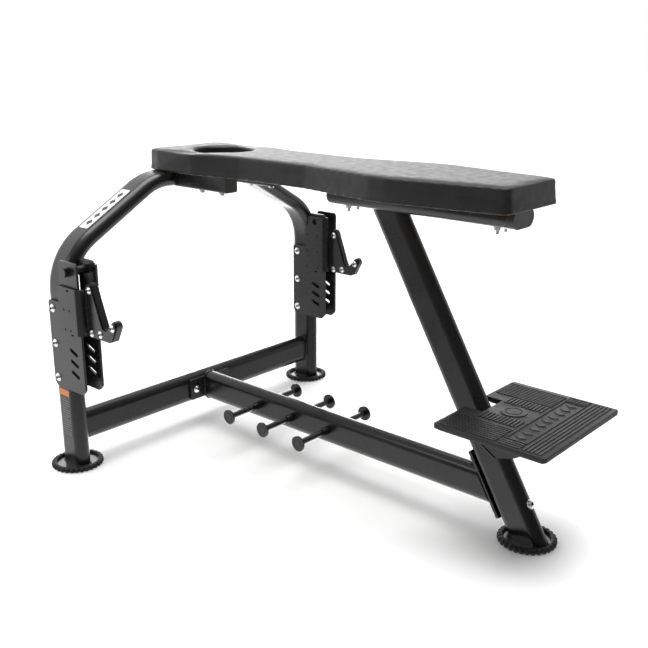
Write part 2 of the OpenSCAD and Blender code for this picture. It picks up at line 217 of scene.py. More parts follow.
FINISH = {
    "frame_paint": powder_coat("frame_paint", (0.0085, 0.0085, 0.009)),
    "plate_paint": powder_coat("plate_paint", (0.013, 0.013, 0.0135)),
    "carriage_paint": powder_coat("carriage_paint", (0.0085, 0.0085, 0.009)),
    "hook_paint": powder_coat("hook_paint", (0.012, 0.012, 0.013), 0.22, 0.30),
    "peg": powder_coat("peg", (0.0095, 0.0095, 0.010)),
    "base_steel": polished("base_steel", (0.24, 0.25), 0.16, 0.26),
    "zinc": polished("zinc", (0.78, 0.93), 0.22, 0.36),
    "black_bolt": powder_coat("black_bolt", (0.007, 0.007, 0.0075), 0.18, 0.28),
    "end_cap": moulded("end_cap", (0.009, 0.009, 0.0095)),
    "board": plywood(),
    "vinyl": vinyl(),
    "tread_rubber": rubber("tread_rubber", (0.013, 0.013, 0.0135), 0.46, 0.60),
    "foot_rubber": rubber("foot_rubber", (0.005, 0.005, 0.005)),
    "sleeve": rubber("sleeve", (0.009, 0.009, 0.009), 0.30, 0.42),
    "liner": moulded("liner", (0.008, 0.008, 0.009)),
    "hook_core": moulded("hook_core", (0.006, 0.006, 0.0065), 0.34, 0.46),
}
WHITE_PRINT = printed("white_print", (0.80, 0.80, 0.79))
BLACK_PRINT = printed("black_print", (0.018, 0.018, 0.019))
GREY_PRINT = printed("grey_print", (0.16, 0.16, 0.16))
ORANGE_PRINT = printed("orange_print", (0.62, 0.17, 0.008))
# Painted shade: the sockets are zinc like the heads, and this dark material stands in for the shade inside
# them.
SOCKET_PAINTED_SHADE = moulded("socket_painted_shade", (0.010, 0.010, 0.010))


# ---- making pieces ----

def add_piece(name, shape, material, body, crease=35, extra=()):
    """Turns a bmesh into a smooth-shaded piece that rides on a body."""
    mesh = bpy.data.meshes.new(name)
    shape.normal_update()
    shape.to_mesh(mesh)
    shape.free()
    for m in (material, *extra):
        mesh.materials.append(m)
    mesh.shade_smooth()
    mesh.set_sharp_from_angle(angle=math.radians(crease))
    piece = bpy.data.objects.new(name, mesh)
    bpy.context.scene.collection.objects.link(piece)
    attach(piece, body)
    return piece


def frame_at(centre, along):
    """A matrix whose Z axis lies along a direction, at a point."""
    return Matrix.Translation(centre) @ Vector(along).to_track_quat("Z", "Y").to_matrix().to_4x4()


def body_of_node(node):
    return NODES[node]["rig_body"]


def paint_cad_nodes():
    for node, piece in NODES.items():
        material = FINISH[SLOT_OF[node]]
        if not piece.data.materials:
            piece.data.materials.append(material)
        for i in range(len(piece.data.materials)):
            piece.data.materials[i] = material


EDGE_ROUND = 0.0010                                 # how far the plates' edges are rounded
EDGE_TURN = 32                                      # an edge that turns by more degrees is rounded


def turned_past(edge, degrees):
    """Says whether the faces on both sides of an edge turn by more than an angle."""
    return len(edge.link_faces) == 2 and edge.calc_face_angle(0) > math.radians(degrees)


def softened(node):
    """A copy of a CAD node with its sharp edges rounded, which stands for the node."""
    shape = bmesh.new()
    shape.from_mesh(NODES[node].data)
    bmesh.ops.remove_doubles(shape, verts=shape.verts, dist=2e-5)
    bmesh.ops.dissolve_limit(shape, angle_limit=math.radians(1), verts=shape.verts, edges=shape.edges)
    sharp = [e for e in shape.edges if turned_past(e, EDGE_TURN)]
    bmesh.ops.bevel(shape, geom=sharp, offset=EDGE_ROUND, segments=2, profile=0.6, affect="EDGES",
                    clamp_overlap=True)
    slot = SLOT_OF[node]
    piece = add_piece(node + "_edged", shape, FINISH[slot], body_of_node(node), 60)
    flat = piece.modifiers.new("flat_faces", "WEIGHTED_NORMAL")
    flat.mode = "FACE_AREA"
    flat.weight = 100
    flat.keep_sharp = True
    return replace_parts(piece, node)


# ---- bolts ----

def circle(radius, height, place, sides):
    """Points round a circle about the place's Z axis."""
    turn = [2 * math.pi * i / sides for i in range(sides)]
    return [place @ Vector((radius * math.cos(a), radius * math.sin(a), height)) for a in turn]


def hexagon_radius(corner, angle):
    """The distance from a hexagon's centre to its edge, at an angle."""
    return corner * math.cos(math.pi / 6) / math.cos((angle % (math.pi / 3)) - math.pi / 6)


def revolve_into(shape, place, profile, sides=32):
    """Adds a turned form; its profile is a list of (radius, height) points, which starts low."""
    rings = []
    for radius, height in profile:
        if radius < 1e-6:
            rings.append([shape.verts.new(place @ Vector((0, 0, height)))])
            continue
        rings.append([shape.verts.new(point) for point in circle(radius, height, place, sides)])
    for lower, upper in zip(rings, rings[1:]):
        join_rings(shape, lower, upper)


def join_rings(shape, lower, upper, material=0):
    """Joins two rings of points with faces; either ring may be a single point."""
    count = max(len(lower), len(upper))
    for i in range(count):
        j = (i + 1) % count
        corners = [lower[i % len(lower)], lower[j % len(lower)],
                   upper[j % len(upper)], upper[i % len(upper)]]
        unique = list(dict.fromkeys(corners))
        if len(unique) > 2:
            shape.faces.new(unique).material_index = material


def socket_head_into(shape, place, radius):
    """A domed head on a washer, with a hexagonal socket; the socket's walls and floor take material 1, a
    painted shade.
    """
    sides, lip = 36, 0.0004
    washer_t, dome, edge = 0.0016, radius * 0.52, radius * 0.12
    socket_r, socket_depth = radius * 0.50, dome * 0.75
    arc = [math.radians(a) for a in (8, 25, 42, 60)]
    profile = [(0, 0), (radius * 1.25, 0), (radius * 1.25, washer_t * 0.7), (radius * 1.18, washer_t),
               (radius, washer_t), (radius, washer_t + edge)]
    profile += [(radius * math.cos(a), washer_t + edge + (dome - edge) * math.sin(a)) for a in arc]
    revolve_into(shape, place, profile, sides)
    shape.verts.ensure_lookup_table()
    rim = shape.verts[-sides:]
    rings = [rim]
    for scale, drop in ((1.0, 0), (0.96, lip), (0.94, socket_depth)):
        height = washer_t + dome - drop
        ring = []
        for i in range(sides):
            a = 2 * math.pi * i / sides
            r = hexagon_radius(socket_r, a) * scale
            ring.append(shape.verts.new(place @ Vector((r * math.cos(a), r * math.sin(a), height))))
        # The socket's walls and floor take material 1, the painted shade for the recess.
        join_rings(shape, rings[-1], ring, 1 if drop == socket_depth else 0)
        rings.append(ring)
    floor = shape.verts.new(place @ Vector((0, 0, washer_t + dome - socket_depth - lip)))
    join_rings(shape, rings[-1], [floor], 1)


def hex_nut_into(shape, place, radius, height, washer_r, tail_r=0.006, tail=0.0):
    """A chamfered hexagonal head or nut on a washer; a bolt's tail may stand out of it."""
    washer_t, uncut, chamfer = 0.002, 1.0, 0.93
    revolve_into(shape, place, [(0, 0), (washer_r, 0), (washer_r, washer_t), (radius * 0.9, washer_t)], 32)
    sides, rings = 24, []
    for z, cap in ((washer_t, uncut), (washer_t + height * 0.82, uncut), (washer_t + height, chamfer)):
        ring = []
        for i in range(sides):
            a = 2 * math.pi * i / sides
            r = min(hexagon_radius(radius, a), radius * cap)
            ring.append(shape.verts.new(place @ Vector((r * math.cos(a), r * math.sin(a), z))))
        if rings:
            join_rings(shape, rings[-1], ring)
        rings.append(ring)
    centre = shape.verts.new(place @ Vector((0, 0, washer_t + height)))
    join_rings(shape, rings[-1], [centre])
    if not tail:
        return
    base, pitch = washer_t + height, 0.0015
    profile = [(tail_r, base)]
    for i in range(int(tail / pitch)):
        profile += [(tail_r, base + pitch * (i + 0.25)), (tail_r * 0.88, base + pitch * (i + 0.75))]
    profile += [(tail_r * 0.85, base + tail), (0, base + tail)]
    revolve_into(shape, place, profile, 20)


def zinc_piece(name, shape, body):
    """A piece of zinc-plated bolt heads; their sockets take a darker material, a painted shade for the shade
    inside them.
    """
    return add_piece(name, shape, FINISH["zinc"], body, extra=(SOCKET_PAINTED_SHADE,))


def guide_bolts(side):
    """Socket-headed bolts through a leg and its guide plates, one head on each outer face."""
    sign, head_r, count = SIDES[side], 0.010, 3
    plain_r = 0.0125                                # radius of the plain heads that the CAD node has
    shape = bmesh.new()
    low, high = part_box(f"{side}_guide_bolts")
    x, gap = (low.x + high.x) / 2, (high.z - low.z - 2 * plain_r) / (count - 1)
    outer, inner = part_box(f"{side}_outer_guide_plate"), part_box(f"{side}_inner_guide_plate")
    outer_y, inner_y = (outer[0].y, inner[1].y) if sign < 0 else (outer[1].y, inner[0].y)
    for i in range(count):
        for y, way in ((outer_y, sign), (inner_y, -sign)):
            place = frame_at((x, y, low.z + plain_r + i * gap), (0, way, 0))
            socket_head_into(shape, place, head_r)
    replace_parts(zinc_piece(f"{side}_guide_bolt_heads", shape, "frame"), f"{side}_guide_bolts")


HOOK_BOLTS = ((0.156, 0.596), (0.155, 0.467), (0.198, 0.472), (0.258, 0.503))   # (x from the leg, z)
CHEEK_Y = 0.014                                     # the hook cheeks' faces, from the hook's middle


def hook_bolts(side):
    """Socket-headed bolts through a hook's cheeks, one head on each cheek."""
    y, head_r = SIDES[side] * LEG_Y, 0.009
    shape = bmesh.new()
    for x, z in HOOK_BOLTS:
        for way in (-1, 1):
            place = frame_at((LEG_X + x, y + way * CHEEK_Y, z), (0, way, 0))
            socket_head_into(shape, place, head_r)
    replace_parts(zinc_piece(f"{side}_hook_bolt_heads", shape, f"{side}_hook"), f"{side}_hook_bolts")


def stop_bolt(side):
    """The black hex bolt at the top of a guide, which carries the stop sleeve."""
    sign, shank_r = SIDES[side], 0.006
    bolt_x, bolt_z = LEG_X + 0.086, 0.642
    shape = bmesh.new()
    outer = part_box(f"{side}_outer_guide_plate")[0 if sign < 0 else 1].y
    head = Vector((bolt_x, outer, bolt_z))
    hex_nut_into(shape, frame_at(head, (0, sign, 0)), radius=0.0135, height=0.0145, washer_r=0.015)
    span = 2 * (HALF_TUBE + PLATE_T)
    shank = [(0, 0), (shank_r, 0), (shank_r, span), (0, span)]
    revolve_into(shape, frame_at(head, (0, -sign, 0)), shank, 20)
    piece = add_piece(f"{side}_stop_bolt_head", shape, FINISH["black_bolt"], "frame")
    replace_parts(piece, f"{side}_stop_bolt")


FLANGE_HEAD_R, FLANGE_NUT_R, NUT_TAIL = 0.011, 0.0105, 0.006


def flange_bolts():
    """The two bolts through the main beam's front plate and the cross beam."""
    shape = bmesh.new()
    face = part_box("front_flange_plate")[1].x
    back = LEG_X - HALF_TUBE
    half_pitch = 0.062
    for y in (-half_pitch, half_pitch):
        socket_head_into(shape, frame_at((face, y, BEAM_Z), (1, 0, 0)), FLANGE_HEAD_R)
        place = frame_at((back, y, BEAM_Z), (-1, 0, 0))
        hex_nut_into(shape, place, FLANGE_NUT_R, height=0.009, washer_r=0.014, tail=NUT_TAIL)
    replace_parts(zinc_piece("front_flange_bolt_heads", shape, "frame"), "front_flange_bolts")


LEAN = math.radians(30.5)                           # the rear leg's lean from upright
LEG_ROOT = Vector((LEG_X + 1.308, 0, 0))            # where the rear leg's axis meets the floor
LEG_UP = Vector((-math.sin(LEAN), 0, math.cos(LEAN)))
LEG_OUT = Vector((math.cos(LEAN), 0, math.sin(LEAN)))


def rear_flange_bolts():
    """The two bolts through the rear leg and its flange plate; the distances are along the leg's axis."""
    shape = bmesh.new()
    for along in (0.096, 0.256):
        axis = LEG_ROOT + LEG_UP * along
        socket_head_into(shape, frame_at(axis + LEG_OUT * HALF_TUBE_W, LEG_OUT), FLANGE_HEAD_R)
        place = frame_at(axis - LEG_OUT * (HALF_TUBE_W + PLATE_T), -LEG_OUT)
        hex_nut_into(shape, place, FLANGE_NUT_R, height=0.010, washer_r=0.013, tail=NUT_TAIL)
    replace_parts(zinc_piece("rear_flange_bolt_heads", shape, "frame"), "rear_flange_bolts")


# ---- weld beads ----

def oval_loop(place, width, thickness, steps=14):
    """Points round an oval section, whose long side lies along the place's X axis."""
    r = thickness / 2
    points = []
    for side in (1, -1):
        for i in range(steps + 1):
            a = -math.pi / 2 + math.pi * i / steps
            x, y = (width / 2 - r) + r * math.cos(a), r * math.sin(a)
            points.append(place @ Vector((side * x, side * y, 0)))
    return points


def weld_into(shape, path, radius=0.0028, closed=True, sides=8):
    """A rippled bead of weld along a path."""
    dense = resampled(path, 0.003, closed)
    count, rings = len(dense), []
    for i, point in enumerate(dense):
        ahead = dense[(i + 1) % count] if closed or i < count - 1 else point
        behind = dense[i - 1] if closed or i > 0 else point
        turn = (ahead - behind).normalized().to_track_quat("Z", "Y").to_matrix()
        r = radius * (1 + 0.14 * math.sin(i * 1.9) + 0.10 * noise.noise(point * 180))
        place = Matrix.Translation(point) @ turn.to_4x4()
        ring = [shape.verts.new(corner) for corner in circle(r, 0, place, sides)]
        if rings:
            join_aligned(shape, rings[-1], ring)
        rings.append(ring)
    if closed:
        join_aligned(shape, rings[-1], rings[0])
    else:
        shape.faces.new(rings[0][::-1])
        shape.faces.new(rings[-1])


def join_aligned(shape, a, b):
    """Joins two rings, turned so that their nearest corners meet."""
    n = len(a)
    shift = min(range(n), key=lambda s: (a[0].co - b[s].co).length)
    for i in range(n):
        j = (i + 1) % n
        shape.faces.new((a[i], a[j], b[(j + shift) % n], b[(i + shift) % n]))


def resampled(path, step, closed):
    """Points along a path, about a step apart."""
    points = path + [path[0]] if closed else path
    out = []
    for a, b in zip(points, points[1:]):
        pieces = max(1, round((b - a).length / step))
        out += [a.lerp(b, i / pieces) for i in range(pieces)]
    return out if closed else out + [points[-1]]


BEAD_W, BEAD_T = 0.102, 0.052                       # the oval tube's section with a bead round it
BEAD_OUT = 0.0005                                   # how far a bead's middle stands off a face
BASE_BEAD_Z = 0.0065                                # the beads between the front legs and their base plates


def tube_welds(shape):
    """Beads round the ends of the cross beam, the main beam and the two front legs."""
    for sign in (-1, 1):
        place = frame_at((LEG_X, sign * (LEG_Y - HALF_TUBE), BEAM_Z), (0, sign, 0))
        weld_into(shape, oval_loop(place @ beam_turn((0, sign, 0)), BEAD_W, BEAD_T))
    plate_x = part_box("front_flange_plate")[1].x
    place = frame_at((plate_x + BEAD_OUT, 0, BEAM_Z), (1, 0, 0))
    weld_into(shape, oval_loop(place @ beam_turn((1, 0, 0)), BEAD_W, BEAD_T))
    for sign in (-1, 1):
        place = Matrix.Translation((LEG_X, sign * LEG_Y, BASE_BEAD_Z))
        weld_into(shape, oval_loop(place, BEAD_W, BEAD_T))


def gusset_welds(shape):
    """Straight beads along the gussets, where they meet the tread's plate and the rear leg."""
    low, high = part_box("tread_gusset_left")
    top_z, root_z = high.z - BEAD_OUT, 0.268
    leg_x, leg_z = LEG_X + 1.206, 0.222
    bead_y = HALF_TUBE + 0.0065
    for sign in (-1, 1):
        y = sign * bead_y
        ends = [Vector((low.x + 0.004, y, top_z)), Vector((high.x - 0.004, y, top_z))]
        weld_into(shape, ends, 0.0024, closed=False)
        root = [Vector((low.x + 0.002, y, root_z)), Vector((leg_x, y, leg_z))]
        weld_into(shape, root, 0.0022, closed=False)


def hook_welds(side):
    """Two upright beads that join a hook's cheeks to its carriage."""
    middle, bead_z = SIDES[side] * LEG_Y, (0.470, 0.590)
    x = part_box(f"{side}_carriage")[1].x + BEAD_OUT
    shape = bmesh.new()
    for way in (-1, 1):
        y = middle + way * (CHEEK_Y + 0.0002)
        weld_into(shape, [Vector((x, y, z)) for z in bead_z], 0.0020, closed=False)
    add_piece(f"{side}_hook_welds", shape, FINISH["carriage_paint"], f"{side}_hook")


def welds():
    shape = bmesh.new()
    tube_welds(shape)
    gusset_welds(shape)
    for side in SIDES:
        hook_welds(side)
    add_piece("frame_welds", shape, FINISH["frame_paint"], "frame")


def beam_turn(direction):
    """Turns an oval section so that its long side stands upright, for a beam along a level direction."""
    place = frame_at((0, 0, 0), direction)
    up = place.inverted() @ Vector((0, 0, 1))
    return Matrix.Rotation(math.atan2(up.y, up.x), 4, "Z")


# ---- pad ----

PAD_VOXEL = 0.006                                   # the remeshed skin's grid
PAD_SHRINK = 0.003                                  # how far the skin is drawn in before it swells
PAD_CAP = 0.0040                                    # how far the swelling may move a point
PUFF_STEPS = 16


def make_pad():
    """The vinyl cushion: the CAD block remeshed, puffed as cloth with its underside held, then smoothed."""
    under_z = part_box("pad_cushion")[0].z
    mesh = NODES["pad_cushion"].data.copy()
    mesh.name = "seat_pad"
    pad = bpy.data.objects.new("seat_pad", mesh)
    bpy.context.scene.collection.objects.link(pad)
    bpy.context.view_layer.objects.active = pad
    remesh = pad.modifiers.new("remesh", "REMESH")
    remesh.mode = "VOXEL"
    remesh.voxel_size = PAD_VOXEL
    bake(pad)
    draw_in(pad.data, under_z)
    puff(pad, under_z)
    smooth = pad.modifiers.new("smooth", "SMOOTH")
    smooth.iterations = 2
    smooth.factor = 0.4
    subdivide = pad.modifiers.new("subdivide", "SUBSURF")
    subdivide.levels = subdivide.render_levels = 1
    bake(pad)
    pad.data.materials.clear()
    pad.data.materials.append(FINISH["vinyl"])
    pad.data.shade_smooth()
    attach(pad, "frame")
    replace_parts(pad, "pad_cushion")


def bake(piece):
    """Applies a piece's modifiers to its mesh."""
    bpy.context.view_layer.update()
    evaluated = piece.evaluated_get(bpy.context.evaluated_depsgraph_get())
    mesh = bpy.data.meshes.new_from_object(evaluated)
    piece.modifiers.clear()
    piece.data = mesh


def draw_in(mesh, under_z):
    """Pulls the skin in a little everywhere except underneath, so that it can swell to the block's size."""
    start, rise = 0.004, 0.010                      # the pull starts this far up and grows over the rise
    normals = [v.normal.copy() for v in mesh.vertices]
    for vertex, normal in zip(mesh.vertices, normals):
        lift = min(1.0, max(0.0, (vertex.co.z - under_z - start) / rise))
        vertex.co -= normal * PAD_SHRINK * lift


def puff(pad, under_z):
    """A short cloth simulation with pressure; the underside is pinned and no point moves far."""
    start = [v.co.copy() for v in pad.data.vertices]
    group = pad.vertex_groups.new(name="held")
    band = 0.012                                    # held up to this height, and freed over as much again
    for vertex in pad.data.vertices:
        depth = vertex.co.z - under_z
        weight = 1.0 if depth < band else max(0.0, 1 - (depth - band) / band)
        if weight > 0:
            group.add([vertex.index], weight, "REPLACE")
    cloth = pad.modifiers.new("cloth", "CLOTH")
    cloth.settings.vertex_group_mass = "held"
    cloth.settings.use_pressure = True
    cloth.settings.uniform_pressure_force = 4
    cloth.settings.effector_weights.gravity = 0
    cloth.settings.quality = 4
    cloth.settings.tension_stiffness = 25
    cloth.settings.bending_stiffness = 4
    cloth.collision_settings.use_collision = False
    scene = bpy.context.scene
    for step in range(1, PUFF_STEPS + 1):
        scene.frame_set(step)
    evaluated = pad.evaluated_get(bpy.context.evaluated_depsgraph_get())
    moved = [v.co.copy() for v in evaluated.data.vertices]
    pad.modifiers.clear()
    pad.vertex_groups.clear()
    steps = evened([after - before for before, after in zip(start, moved)], pad.data.edges)
    for vertex, before, step in zip(pad.data.vertices, start, steps):
        if step.length > PAD_CAP:
            step *= PAD_CAP / step.length
        vertex.co = before + step
    scene.frame_set(1)


def evened(steps, edges, passes=14):
    """Averages each point's movement with its neighbours', so that a tight skin shows no folds."""
    beside = [[] for _ in steps]
    for edge in edges:
        a, b = edge.vertices
        beside[a].append(b)
        beside[b].append(a)
    for _ in range(passes):
        steps = [(step + sum((steps[n] for n in near), Vector())) / (len(near) + 1)
                 for step, near in zip(steps, beside)]
    return steps


# ---- tread ----

TREAD_LOW, TREAD_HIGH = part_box("tread_pad")
RIB_H = 0.0022                                      # how far the pattern stands out
SUNK = 0.0004                                       # how far the pattern's pieces reach into the slab


def rib_into(shape, x0, y0, x1, y1, slope=0.0008):
    """A raised bar with sloping flanks between two corners, on the tread's face."""
    outline = ((x0, y0), (x1, y0), (x1, y1), (x0, y1))
    inset = ((slope, slope), (-slope, slope), (-slope, -slope), (slope, -slope))
    narrowed = [(x + a, y + b) for (x, y), (a, b) in zip(outline, inset)]
    block_into(shape, outline, narrowed)


def block_into(shape, outline, narrowed):
    """A raised block on the tread: an outline at its foot and a narrower one on top."""
    lower = [shape.verts.new((x, y, TREAD_HIGH.z - RIB_H - SUNK)) for x, y in outline]
    upper = [shape.verts.new((x, y, TREAD_HIGH.z)) for x, y in narrowed]
    shape.faces.new(lower[::-1])
    shape.faces.new(upper)
    join_rings(shape, lower, upper)


def ribs_along_y(shape, x0, x1, y0, y1, pitch, width):
    """As many ribs along Y as fit side by side in a rectangle."""
    count = int((x1 - x0 + pitch - width) / pitch)
    for i in range(count):
        x = x0 + i * pitch
        rib_into(shape, x, y0, x + width, y1)


def ribs_along_x(shape, x0, x1, y0, y1, pitch, width):
    """As many ribs along X as fit side by side in a rectangle."""
    count = int((y1 - y0 + pitch - width) / pitch)
    for i in range(count):
        y = y0 + i * pitch
        rib_into(shape, x0, y, x1, y + width)


def tread_slab():
    """The tread's body: a rounded slab with a notch for the leg."""
    slab = bmesh.new()
    notch_x, notch_y = TREAD_LOW.x + 0.053, 0.050
    corner_r, rim_r = 0.010, 0.0022
    near, level = 1e-4, 1e-5                        # how close counts as the same place or height
    outline = [(TREAD_LOW.x, TREAD_LOW.y), (TREAD_HIGH.x, TREAD_LOW.y), (TREAD_HIGH.x, TREAD_HIGH.y),
               (TREAD_LOW.x, TREAD_HIGH.y), (TREAD_LOW.x, notch_y), (notch_x, notch_y),
               (notch_x, -notch_y), (TREAD_LOW.x, -notch_y)]
    face = slab.faces.new([slab.verts.new((x, y, TREAD_LOW.z)) for x, y in outline])
    raised = bmesh.ops.extrude_face_region(slab, geom=[face])
    top = [v for v in raised["geom"] if isinstance(v, bmesh.types.BMVert)]
    bmesh.ops.translate(slab, verts=top, vec=(0, 0, TREAD_HIGH.z - RIB_H - TREAD_LOW.z))
    bmesh.ops.recalc_face_normals(slab, faces=slab.faces)
    upright = [e for e in slab.edges if abs(e.verts[0].co.z - e.verts[1].co.z) > 0.005]
    corners = [e for e in upright if abs(e.verts[0].co.x - TREAD_HIGH.x) < near
               or abs(abs(e.verts[0].co.y) - TREAD_HIGH.y) < near]
    bmesh.ops.bevel(slab, geom=corners, offset=corner_r, segments=6, profile=0.5, affect="EDGES")
    rim = [e for e in slab.edges if turned_past(e, 60) and abs(e.verts[0].co.z - e.verts[1].co.z) < level]
    bmesh.ops.bevel(slab, geom=rim, offset=rim_r, segments=3, profile=0.5, affect="EDGES")
    return slab


def lozenge_into(shape, x, y, half_x, half_y):
    """A small raised diamond."""
    corners = ((half_x, 0), (0, half_y), (-half_x, 0), (0, -half_y))
    outline, narrowed = ([(x + a * scale, y + b * scale) for a, b in corners] for scale in (1, 0.8))
    block_into(shape, outline, narrowed)


def make_tread():
    """The rubber tread: ribs in bands of two directions, a row of diamonds and a plain round boss."""
    shape = tread_slab()
    x0, x1, y1 = TREAD_LOW.x, TREAD_HIGH.x, TREAD_HIGH.y
    pitch, width, edge, gap = 0.0105, 0.0066, 0.008, 0.006
    panel = (x1 - 0.134, x1 - 0.072)                        # the diamond panel's span along X
    panel_y, frame_w = 0.158, 0.004
    ribs_along_y(shape, panel[1] + gap, x1 - edge, -y1 + edge, y1 - edge, pitch, width)
    for y in (-panel_y, panel_y - frame_w):
        rib_into(shape, panel[0], y, panel[1], y + frame_w)
    for x in (panel[0], panel[1] - frame_w):
        rib_into(shape, x, -panel_y, x + frame_w, panel_y)
    diamonds, diamond_pitch = 9, 0.033
    for i in range(diamonds):
        y = (i - (diamonds - 1) / 2) * diamond_pitch
        lozenge_into(shape, (panel[0] + panel[1]) / 2, y, 0.017, 0.010)
    inner_x = (x0 + edge, panel[0] - gap)
    side_y, notch_x, notch_y = 0.092, x0 + 0.062, (0.042, 0.088)
    for sign in (-1, 1):                                    # short ribs beyond the panel's ends
        ends = sorted((sign * (panel_y + 0.005), sign * (y1 - edge)))
        ribs_along_x(shape, panel[0], panel[1], ends[0], ends[1], pitch, width)
    for sign in (-1, 1):                                    # long ribs at the sides, short ones by the notch
        ends = sorted((sign * side_y, sign * (y1 - edge)))
        ribs_along_x(shape, inner_x[0], inner_x[1], ends[0], ends[1], pitch, width)
        ends = sorted((sign * notch_y[0], sign * notch_y[1]))
        ribs_along_y(shape, notch_x, inner_x[1], ends[0], ends[1], pitch, width)
    boss = Matrix.Translation((x0 + 0.118, 0, TREAD_HIGH.z - RIB_H))
    groove = 0.0006                                         # height left at the bottom of the boss's ring
    turned = [(0, RIB_H), (0.020, RIB_H), (0.0206, groove), (0.0230, groove), (0.0236, RIB_H),
              (0.0345, RIB_H), (0.0352, -SUNK), (0, -SUNK)]
    revolve_into(shape, boss, turned, 48)
    piece = add_piece("tread_mat", shape, FINISH["tread_rubber"], "frame", 30)
    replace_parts(piece, "tread_pad")


# ---- feet ----

LOBES = 30
LOBE_DEPTH = 0.0062
# The foot's section, from the web over the ring to the floor: (from the outer radius, height, lobed share).
FOOT_SECTION = ((-0.0166, 0.0032, 0), (-0.0163, 0.0125, 0), (-0.0150, 0.0140, 0), (-0.0100, 0.0140, 0.1),
                (-0.0060, 0.0136, 0.8), (-0.0022, 0.0122, 1), (0, 0.0095, 1), (0, 0.0030, 1),
                (-0.0015, 0.0006, 1), (-0.0040, 0, 1))


def make_foot(node):
    """A rubber foot: a ring with rounded lobes, and a thin web under its base plate."""
    low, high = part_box(node)
    centre = (low + high) / 2
    outer, turns = (high.y - low.y) / 2, 8 * LOBES
    shape = bmesh.new()
    rings = []
    for inward, height, lobed in FOOT_SECTION:
        ring = []
        for i in range(turns):
            a = 2 * math.pi * i / turns
            dip = LOBE_DEPTH * lobed * (0.5 - 0.5 * math.cos(LOBES * a)) ** 2
            r = outer + inward - dip
            x, y = centre.x + r * math.cos(a), centre.y + r * math.sin(a)
            ring.append(shape.verts.new((x, y, low.z + height)))
        if rings:
            join_rings(shape, rings[-1], ring)
        rings.append(ring)
    for ring, height in ((rings[0], FOOT_SECTION[0][1]), (rings[-1], 0.0)):
        middle = shape.verts.new((centre.x, centre.y, low.z + height))
        join_rings(shape, ring, [middle])
    bmesh.ops.recalc_face_normals(shape, faces=shape.faces)
    piece = add_piece(node + "_lobed", shape, FINISH["foot_rubber"], "frame", 50)
    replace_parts(piece, node)


# ---- stickers ----

def sticker(name, place, width, length, material, lift=0.0004, thick=0.0005):
    """A thin plate with rounded corners on a flat face; the place's Z axis points out of the face."""
    shape = bmesh.new()
    radius, steps = min(width, length) * 0.12, 5
    outline = []
    for quarter, (sx, sy) in enumerate(((1, 1), (-1, 1), (-1, -1), (1, -1))):
        for i in range(steps + 1):
            a = math.pi / 2 * (quarter + i / steps)
            outline.append((sx * (width / 2 - radius) + radius * math.cos(a),
                            sy * (length / 2 - radius) + radius * math.sin(a)))
    lower = [shape.verts.new(place @ Vector((x, y, lift - thick))) for x, y in outline]
    upper = [shape.verts.new(place @ Vector((x, y, lift))) for x, y in outline]
    shape.faces.new(lower[::-1])
    shape.faces.new(upper)
    join_rings(shape, lower, upper)
    add_piece(name, shape, material, "frame", 30)


def diamonds_into(shape, place, count, pitch, half_x, half_y, lift):
    """A row of flat diamonds along the place's Y axis."""
    for i in range(count):
        y = (i - (count - 1) / 2) * pitch
        corners = ((half_x, y), (0, y + half_y), (-half_x, y), (0, y - half_y))
        shape.faces.new([shape.verts.new(place @ Vector((a, b, lift))) for a, b in corners])


SHOULDER_SLOPE = math.radians(30)
OVERLAP, MARK_LIFT = 0.0007, 0.0009                 # lifts of what lies on a sticker, and on top of that


def plaque():
    """A pale plaque with a row of plain diamonds on the left shoulder's slope."""
    outward = Vector((0, -math.sin(SHOULDER_SLOPE), math.cos(SHOULDER_SLOPE)))
    downhill = Vector((0, -math.cos(SHOULDER_SLOPE), -math.sin(SHOULDER_SLOPE)))
    across = downhill.cross(outward)
    slope_starts, middle = 0.193, 0.353             # distances from the bench's middle along Y
    fall = (middle - slope_starts) * math.tan(SHOULDER_SLOPE)
    centre = Vector((LEG_X, -middle, ARCH_Z - fall)) + outward * HALF_TUBE
    place = Matrix.Translation(centre) @ Matrix((across, downhill, outward)).transposed().to_4x4()
    sticker("plaque_border", place, 0.047, 0.196, BLACK_PRINT)
    sticker("plaque_face", place, 0.043, 0.191, WHITE_PRINT, lift=OVERLAP)
    marks = bmesh.new()
    diamonds_into(marks, place, 5, 0.034, 0.012, 0.014, MARK_LIFT)
    add_piece("plaque_marks", marks, BLACK_PRINT, "frame")


def leg_tag():
    """A tag low on the left leg: an orange band over plain grey rules, every fourth one shorter."""
    side = Vector((LEG_X, -LEG_Y - HALF_TUBE, 0.176))
    place = Matrix.Translation(side) @ Matrix(((1, 0, 0), (0, 0, 1), (0, -1, 0))).transposed().to_4x4()
    sticker("leg_tag_body", place, 0.050, 0.164, BLACK_PRINT)
    band = place @ Matrix.Translation((0, 0.070, 0))
    sticker("leg_tag_band", band, 0.048, 0.020, ORANGE_PRINT, lift=OVERLAP)
    rules, left, first_y, pitch, rule_h = bmesh.new(), -0.020, 0.050, 0.008, 0.0022
    for i in range(16):
        right = left + (0.040 if i % 4 else 0.028)
        y = first_y - i * pitch
        corners = ((left, y), (right, y), (right, y + rule_h), (left, y + rule_h))
        rules.faces.new([rules.verts.new(place @ Vector((a, b, OVERLAP))) for a, b in corners])
    add_piece("leg_tag_rules", rules, GREY_PRINT, "frame")


# ---- stage, light and camera ----

def area_light(name, place, target, size, power):
    light = bpy.data.lights.new(name, "AREA")
    light.size, light.energy = size, power
    lamp = bpy.data.objects.new(name, light)
    lamp.location = place
    lamp.rotation_euler = (Vector(target) - Vector(place)).to_track_quat("-Z", "Y").to_euler()
    lamp.visible_camera = False
    bpy.context.scene.collection.objects.link(lamp)


# How strongly each part of the world lights the bench.
HEAD_WALL = 1.6                                     # at the pad's head end, towards -X
BACK_STRIP = 8.2                                    # low on the wall behind the bench, growing towards -X
BACK_WALL = 0.75                                    # the whole wall behind the bench, towards +Y
UNDER = 1.4
TOP = 0.6
FILL = 0.12


